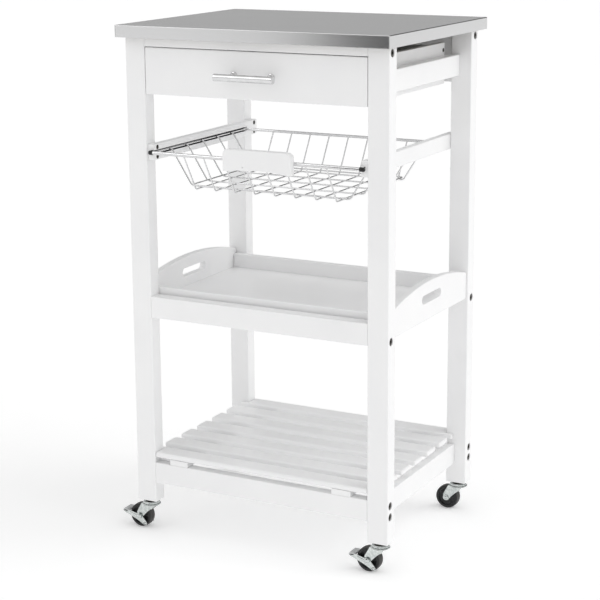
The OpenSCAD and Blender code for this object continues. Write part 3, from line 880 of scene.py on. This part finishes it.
def basket_wires(rim_x, rim_z, front_y, back_y, floor_z, layer):
    """Wires that hang from rod and rim, with the ones along X on top of the ones along Y."""
    bend, thin = 5, 10
    floor_x = rim_x - LEAN_X
    knee_x = rim_x - KNEE
    upper_z = floor_z + layer
    for number, box in enumerate(solids("basket_wires"), 1):
        centre = middle(box)
        size = box[1] - box[0]
        if size.y < thin:
            half = [(floor_x, upper_z), (knee_x, rim_z), (rim_x, rim_z)]
            points = [(-x, centre.y, z) for x, z in reversed(half)]
            points += [(x, centre.y, z) for x, z in half]
        elif size.x < thin:
            points = [(centre.x, front_y, rim_z), (centre.x, front_y + LEAN_Y, floor_z),
                      (centre.x, back_y - LEAN_Y, floor_z), (centre.x, back_y, rim_z)]
        else:
            continue
        wire = tube(rounded_path(points, bend), WIRE_D)
        wire_piece(f"basket_wire_{number:02d}", wire, "basket_wires")


def basket_ring(floor_x, front_y, back_y, z):
    """The ring that lies on the floor wires."""
    inset, corner = 4, 9
    x = floor_x - inset
    front, back = front_y + inset, back_y - inset
    ring = rounded_path([(-x, front, z), (x, front, z), (x, back, z), (-x, back, z)],
                        corner, 8, loop=True)
    wire_piece("basket_floor_ring", tube(ring, WIRE_D, 14, loop=True))


def basket_grip():
    """A painted grip with round top corners and a shallow arch below."""
    corner, sag = 9, 4
    mark_x, mark_z, mark_deep, mark_r = 24, 8, 3, 0.9
    low, high = span("basket_grip")
    half = (high.x - low.x) / 2
    mid_x = (low.x + high.x) / 2
    arch_r, sweep = arch(half, sag)
    outline = arc((mid_x, low.z + sag - arch_r), arch_r, 90 + sweep, 90 - sweep, 16)
    outline += arc((high.x - corner, high.z - corner), corner, 0, 90, 8)
    outline += arc((low.x + corner, high.z - corner), corner, 90, 180, 8)
    bm = plate(outline, "XZ", low.y, high.y, GRIP_EDGE, 3)
    grip = to_object("basket_grip_block", bm, PAINT["X"])
    cut(grip, [hole((mid_x - mark_x, low.y, low.z + mark_z), (0, -1, 0), (1, 0, 0),
                    mark_deep, mark_r)])
    piece(even_normals(grip), "basket", "white_paint", "basket_grip")


def basket_caps():
    """Moulded end caps on the front rod."""
    radius, length, dome = 3.5, 8, 2
    profile = [(ROD_D / 2, -length), (radius - 0.2, -length), (radius, -length + 0.3),
               (radius, -dome)]
    profile += [(radius * math.cos(math.radians(a)), dome * (math.sin(math.radians(a)) - 1))
                for a in (20, 40, 60, 78)]
    profile.append((0, 0))
    for number, box in enumerate(solids("basket_caps"), 1):
        centre = middle(box)
        right = centre.x > 0
        outer = box[1].x if right else box[0].x
        turned = profile if right else mirrored(profile)
        bm = lathe(turned, (outer, centre.y, centre.z), "X")
        cap = to_object(f"basket_cap_{number}", bm, BLACK)
        piece(cap, "basket", "black_plastic", "basket_caps")


# ---------- tray ----------

def tray():
    board("tray_wall_front", "tray", "X", TRAY_EDGE)
    board("tray_wall_rear", "tray", "X", TRAY_EDGE)
    board("tray_floor", "tray", "X", INNER_EDGE)
    tray_end("tray_end_left", -1)
    tray_end("tray_end_right", 1)


def tray_end(node, side):
    """An end board with an arched top and a hand slot."""
    corner_h, slot_z, slot_half, slot_r = 44, 35, 30, 7
    low, high = span(node)
    mid_y = (low.y + high.y) / 2
    arch_r, sweep = arch((high.y - low.y) / 2, high.z - low.z - corner_h)
    outline = [(low.y, low.z), (high.y, low.z)]
    outline += arc((mid_y, high.z - arch_r), arch_r, 90 - sweep, 90 + sweep, 32)
    bm = plate(outline, "YZ", low.x, high.x, TRAY_EDGE, 3)
    obj = to_object(node + "_board", bm, PAINT["Y"])
    face = high.x if side > 0 else low.x
    cut(obj, [hole((face, mid_y, low.z + slot_z), (side, 0, 0), (0, 1, 0), high.x - low.x,
                   slot_r, reach=slot_half, through=True)])
    piece(even_normals(obj), "tray", "white_paint", node)


# ---------- casters ----------

def caster(corner, head_box):
    axle_box = span("axle_" + corner)
    axle = middle(axle_box)
    swivel = Vector((axle.x + TRAIL, axle.y, 0))
    caster_head(corner, head_box)
    fork_cheeks(corner, swivel)
    fork_plate(corner, swivel)
    axle_pin(corner, axle_box)
    wheel(corner, axle)
    wheel_ribs(corner, axle)
    if "front" in corner:
        brake_arms(corner, axle)
        brake_pad(corner, axle)


def caster_head(corner, box):
    """The cup, collar and stem under a leg. The collar and the middle of the cup are painted dark
    as shade under the leg.
    """
    low, high = box
    centre = middle(box)
    leg_z = span("leg_" + corner)[0].z
    r = (high.x - low.x) / 2
    z = low.z
    profile = [(r - 1.2, z), (r - 0.2, z + 0.2), (r, z + 0.9), (r - 0.3, z + 1.9),
               (r - 1.2, z + 2.9), (r - 2.4, z + 3.4), (r - 3.4, z + 3.2), (r - 4.6, z + 2.0),
               (r - 5.6, z + 1.3), (8, z + 1.2), (7.2, z + 1.7), (6.6, z + 2.8), (6.4, leg_z),
               (4, leg_z), (4, high.z - 1), (3, high.z)]
    bm = lathe(profile, (centre.x, centre.y, 0), "Z", 64)
    head = to_object("caster_head_" + corner, bm, ZINC)
    # Painted shade: the dark steel on the collar and the middle of the cup, which are zinc like
    # the rest.
    head.data.materials.append(DARK)
    shade_r = r - 4.2
    for polygon in head.data.polygons:
        place = polygon.center / MM
        out = Vector((place.x - centre.x, place.y - centre.y)).length
        if out < shade_r and polygon.center.z / MM < leg_z:
            polygon.material_index = 1
    piece(head, "frame", "zinc", "caster_heads")


def fork_stations():
    """Where the folded sheet of the fork starts and ends, along its fold from cheek to cheek.

    Each station is a point on the top edge and one on the lower edge, in X, Y and Z from the
    swivel axis. The lower edge of a cheek runs down its back, round the axle and up its front.
    """
    cheek_y, lobe_r, fold_r = 9.3, 5.4, 2.4
    top_z, back_top, front_top = 42.6, -14.0, 7.0
    front_x, front_z, web_z = 3.4, 34.0, 37.2
    lower = [(-22.6, 27.0)]
    lower += arc((-TRAIL, AXLE_Z), lobe_r, 165, 322, 12)
    lower += [(-9.8, 21.6), (-5.6, 26.0), (-1.2, 30.2), (front_x, front_z)]
    left = []
    for i, (x, z) in enumerate(lower):
        top_x = back_top + (front_top - back_top) * (i / (len(lower) - 1))
        left.append(((top_x, -cheek_y, top_z), (x, -cheek_y, z)))
    for i in range(1, 5):
        turn = math.radians(90 * i / 4)
        out, over = fold_r * math.sin(turn), fold_r * (1 - math.cos(turn))
        left.append(((front_top + out, -cheek_y + over, top_z),
                     (front_x + out, -cheek_y + over, front_z + over)))
    web = ((front_top + fold_r, 0, top_z), (front_x + fold_r - 0.4, 0, web_z))
    right = [((tx, -ty, tz), (bx, -by, bz)) for (tx, ty, tz), (bx, by, bz) in reversed(left)]
    return left + [web] + right


def fork_cheeks(corner, swivel):
    """Both cheeks of a fork and the web between them, folded from one sheet."""
    rows = 8
    bm = bmesh.new()
    grid = []
    for top, bottom in fork_stations():
        column = []
        for j in range(rows + 1):
            point = Vector(top).lerp(Vector(bottom), j / rows)
            column.append(bm.verts.new(point + swivel))
        grid.append(column)
    for a, b in zip(grid, grid[1:]):
        for j in range(rows):
            bm.faces.new((a[j], b[j], b[j + 1], a[j + 1]))
    sheet = to_object("fork_sheet_" + corner, bm, ZINC, crease=50)
    solid = sheet.modifiers.new("sheet", "SOLIDIFY")
    solid.thickness = FORK_SHEET * MM
    solid.offset = 0
    settle(sheet)
    soft = sheet.modifiers.new("soft_edges", "BEVEL")
    soft.width = 0.3 * MM
    soft.segments = 2
    soft.limit_method = "ANGLE"
    soft.angle_limit = math.radians(50)
    settle(sheet)
    piece(even_normals(sheet), "caster_" + corner, "zinc", "fork_" + corner)


def fork_plate(corner, swivel):
    """The round plate over the cheeks, with a rolled rim."""
    r, bore, low, high = 15.5, 5, 41.0, 43.4
    profile = [(bore, low + 0.5), (r - 3, low + 0.5), (r - 1.6, low), (r - 0.5, low + 0.2),
               (r, low + 0.9), (r - 0.2, low + 1.7), (r - 1.1, high - 0.2),
               (r - 2.0, high), (r - 4.5, high - 0.3), (bore, high - 0.3)]
    top = to_object("fork_plate_" + corner, lathe(profile, swivel, "Z", 64), ZINC)
    piece(top, "caster_" + corner, "zinc")


def axle_pin(corner, box):
    """The axle rivet, with a domed head at each end."""
    shank_r, head_t = 3, 2.4
    low, high = box
    half = (high.y - low.y) / 2
    head_r = (high.z - low.z) / 2
    end = [(shank_r, half - head_t), (head_r - 0.2, half - head_t), (head_r, half - head_t + 0.3),
           (head_r, half - 1.1), (head_r - 0.5, half - 0.5), (head_r - 1.5, half - 0.2),
           (2.4, half), (2.0, half - 0.5), (0, half - 0.6)]
    bm = lathe(mirrored(reversed(end)) + end, middle(box), "Y")
    pin = to_object("axle_pin_" + corner, bm, ZINC)
    piece(pin, "caster_" + corner, "zinc", "axle_" + corner)


def wheel(corner, axle):
    """A moulded wheel with a hub, recessed webs and a tread of another plastic."""
    r, w, bore, tread_r = WHEEL_R, 7.5, 3.05, 19.2
    side = [(bore, w), (6.4, w), (7.0, w - 0.5), (7.4, w - 2.4), (14.2, w - 2.4), (14.7, w - 0.5),
            (15.3, w), (17.6, w), (18.3, w - 0.2), (19.0, w - 0.7)]
    tread = [(19.5, w - 1.3), (19.75, w - 2.6), (19.9, w - 4.0), (19.8, w - 4.3), (19.8, w - 4.7),
             (19.95, w - 5.0), (r, 0)]
    half = side + tread
    bm = lathe(half + mirrored(reversed(half[:-1])), axle, "Y", 96, loop=True)
    tyre = to_object("wheel_" + corner + "_moulding", bm, BLACK)
    tyre.data.materials.append(TREAD)
    for polygon in tyre.data.polygons:
        place = polygon.center / MM
        if Vector((place.x - axle.x, place.z - axle.z)).length > tread_r:
            polygon.material_index = 1
    piece(tyre, "wheel_" + corner, "black_plastic", "wheel_" + corner)


def wheel_ribs(corner, axle):
    """Ribs across the recessed webs, on both sides of a wheel."""
    ribs, hub_r, rim_r, half_w, half_t = 8, 7.0, 14.8, 6.2, 0.7
    rib = block((hub_r, -half_w, -half_t), (rim_r, half_w, half_t), 0.3, 2)
    turns = [Matrix.Translation(axle) @ Matrix.Rotation(2 * math.pi * i / ribs, 4, "Y")
             for i in range(ribs)]
    spokes = to_object("wheel_" + corner + "_ribs", copies(rib, turns), BLACK)
    piece(even_normals(spokes), "wheel_" + corner, "black_plastic")


def brake_arms(corner, axle):
    """The two cheeks of a brake lever. They pivot on the axle, and each has a rivet."""
    node = "brake_" + corner
    low, high = span(node)
    lobe, lobe_r, eye_r = (11, -11.6), 3.5, 2.6
    groove_x, groove_z, groove_deep, groove_r, groove_half = -10, 2.4, 0.6, 0.35, 7
    outline = [(-30, 2.8), (-29.6, 6.6), (-19, 7.0), (-7, 4.4), (5.0, 1.6), (12.8, -7.4)]
    outline += arc(lobe, lobe_r, 30, -140, 10)
    outline += [(-3.0, -7.6), (-14, -3.0)]
    outline = [(axle.x + x, axle.z + z) for x, z in outline]
    rivet = [(0, -0.7), (1.4, -0.65), (1.9, -0.4), (2.0, -0.1)]
    rivet += mirrored(reversed(rivet))
    groove_way = Vector((0.95, 0, -0.31)).normalized()
    for name, start, out in (("near", low.y, -1), ("far", high.y - BRAKE_SHEET, 1)):
        face = start if out < 0 else start + BRAKE_SHEET
        place = (axle.x + lobe[0], start + BRAKE_SHEET / 2, axle.z + lobe[1])
        bm = plate(outline, "XZ", start, start + BRAKE_SHEET, 0.35)
        arm = to_object(f"{node}_arm_{name}", bm, ZINC)
        groove = hole((axle.x + groove_x, face, axle.z + groove_z), (0, out, 0), groove_way,
                      groove_deep, groove_r, reach=groove_half)
        eye = lathe([(eye_r, -2), (eye_r, 2)], place, "Y", 32)
        cut(arm, [groove, eye])
        piece(even_normals(arm), node, "zinc", node)
        stud = to_object(f"{node}_rivet_{name}", lathe(rivet, place, "Y", 32), ZINC)
        piece(stud, node, "zinc")


def brake_pad(corner, axle):
    """The ribbed foot pad that joins the cheeks of a brake lever."""
    node = "brake_" + corner
    low, high = span(node)
    length, bottom, top = 10, 3.4, 7.6
    ribs, first, pitch, rib_in = 5, 1.8, 1.6, 1.4
    bm = block((low.x, low.y, axle.z + bottom), (low.x + length, high.y, axle.z + top), 1.2)
    pad = to_object(node + "_pad", bm, PAD)
    piece(even_normals(pad), node, "zinc")
    rib = block((-0.55, low.y - axle.y + rib_in, -0.6), (0.55, high.y - axle.y - rib_in, 0.7),
                0.3, 2)
    places = [Matrix.Translation((low.x + first + pitch * i, axle.y, axle.z + top))
              for i in range(ribs)]
    piece(to_object(node + "_pad_ribs", copies(rib, places), PAD), node, "zinc")


def casters():
    heads = {}
    for box in solids("caster_heads"):
        centre = middle(box)
        row = "front" if centre.y < 0 else "rear"
        heads[row + ("_left" if centre.x < 0 else "_right")] = box
    for corner in CORNERS:
        caster(corner, heads[corner])


# ---------- stage, light and camera ----------

def floor():
    """A wide sheet of white paper that glows a little."""
    metres = 30
    bm = bmesh.new()
    corners = ((-metres, -metres), (metres, -metres), (metres, metres), (-metres, metres))
    bm.faces.new([bm.verts.new((x, y, 0)) for x, y in corners])
    mesh = bpy.data.meshes.new("floor")
    bm.to_mesh(mesh)
    bm.free()
    mesh.materials.append(paper(
        "floor_paper", 0.6, 0.94, 0.96, Specular_IOR_Level=0.1, Roughness=0.9,
        Emission_Color=(1, 1, 1, 1), Emission_Strength=0.20))
    obj = bpy.data.objects.new("floor", mesh)
    bpy.context.scene.collection.objects.link(obj)


def studio_walls():
    """White all round for the camera. Reflections and light find a darker wall behind the cart."""
    room_grey, low_grey, high_grey, white = 0.81, 0.50, 0.10, 1.05
    world = bpy.data.worlds.new("studio")
    world.use_nodes = True
    tree = world.node_tree
    bright = tree.nodes["Background"]
    way = add(tree, "ShaderNodeTexCoord", {}).outputs["Generated"]
    parts = add(tree, "ShaderNodeSeparateXYZ", {"Vector": way}).outputs
    behind = add(tree, "ShaderNodeMapRange", {
        "Value": parts["Y"], "From Min": 0.45, "From Max": 0.75}).outputs["Result"]
    above = add(tree, "ShaderNodeMapRange", {
        "Value": parts["Z"], "From Min": 0.25, "From Max": 0.45}).outputs["Result"]
    low_wall = ramp(tree, behind, grey(room_grey), grey(low_grey), 0, 1)
    high_wall = ramp(tree, behind, grey(room_grey), grey(high_grey), 0, 1)
    walls = tree.nodes.new("ShaderNodeMix")
    walls.data_type = "RGBA"
    tree.links.new(above, walls.inputs[0])
    tree.links.new(low_wall, walls.inputs[6])
    tree.links.new(high_wall, walls.inputs[7])
    room = add(tree, "ShaderNodeBackground", {"Color": walls.outputs[2], "Strength": 1})
    bright.inputs["Color"].default_value = (1, 1, 1, 1)
    bright.inputs["Strength"].default_value = white
    seen = add(tree, "ShaderNodeLightPath", {}).outputs["Is Camera Ray"]
    mix = tree.nodes.new("ShaderNodeMixShader")
    tree.links.new(seen, mix.inputs[0])
    tree.links.new(room.outputs["Background"], mix.inputs[1])
    tree.links.new(bright.outputs["Background"], mix.inputs[2])
    tree.links.new(mix.outputs["Shader"], tree.nodes["World Output"].inputs["Surface"])
    bpy.context.scene.world = world


def only_reflected(obj):
    """Hides a stage piece from everything but reflections."""
    obj.visible_camera = False
    obj.visible_diffuse = False
    obj.visible_shadow = False


def dark_card(name, low, high):
    material = paper(name + "_paper", 3, 0.02, 0.03, Specular_IOR_Level=0, Roughness=1)
    only_reflected(to_object(name, block(low, high, 0), material))


def dark_cards():
    """One shades the right end of the front lip, and one the sides of the basket's long wires."""
    dark_card("front_card", (-800, -2010, 0), (300, -2000, 1300))
    dark_card("rear_card", (500, 2500, 1100), (2400, 2510, 2600))


def soft_box():
    """A bright panel above the front left that faces the cart."""
    half, half_t = 450, 5
    place = Vector((-1600, -1900, 2600))
    aim = Vector((0, 0, 400))
    turn = (aim - place).to_track_quat("Y", "Z").to_matrix().to_4x4()
    bm = block((-half, -half_t, -half), (half, half_t, half), 0)
    bm.transform(Matrix.Translation(place) @ turn)
    material = paper("soft_box_paper", 3, 0.8, 0.82, Specular_IOR_Level=0, Roughness=1,
                     Emission_Color=(1, 1, 1, 1), Emission_Strength=1.8)
    only_reflected(to_object("soft_box", bm, material))


def key_light():
    """A broad sun from high on the right, a little behind the cart. Reflections don't see it."""
    sun = bpy.data.lights.new("key", "SUN")
    sun.energy = 0.75
    sun.angle = math.radians(55)
    towards = Vector((-0.68, -0.22, -0.55))
    obj = bpy.data.objects.new("key", sun)
    obj.rotation_euler = towards.to_track_quat("-Z", "Y").to_euler()
    obj.visible_glossy = False
    bpy.context.scene.collection.objects.link(obj)


def lights():
    studio_walls()
    dark_cards()
    soft_box()
    key_light()
    bpy.context.scene.view_settings.view_transform = "Standard"


def camera():
    """A long lens, a little above the cart and to its right."""
    azimuth, elevation, roll = 28.07, 12.91, -0.403
    data = bpy.data.cameras.new("camera")
    data.sensor_width = 36
    data.lens = 101.4
    data.shift_y = -0.05
    data.clip_end = 100
    obj = bpy.data.objects.new("camera", data)
    place = Matrix.Translation((1.2542, -2.3724, 1.0422))
    turn = Matrix.Rotation(math.radians(azimuth), 4, "Z")
    tilt = Matrix.Rotation(math.radians(90 - elevation), 4, "X")
    lean = Matrix.Rotation(math.radians(roll), 4, "Z")
    obj.matrix_world = place @ turn @ tilt @ lean
    bpy.context.scene.collection.objects.link(obj)
    bpy.context.scene.camera = obj


camera()
lights()
floor()
worktop()
legs()
rails()
basket_rails()
shelf()
fasteners()
drawer()
basket()
tray()
casters()
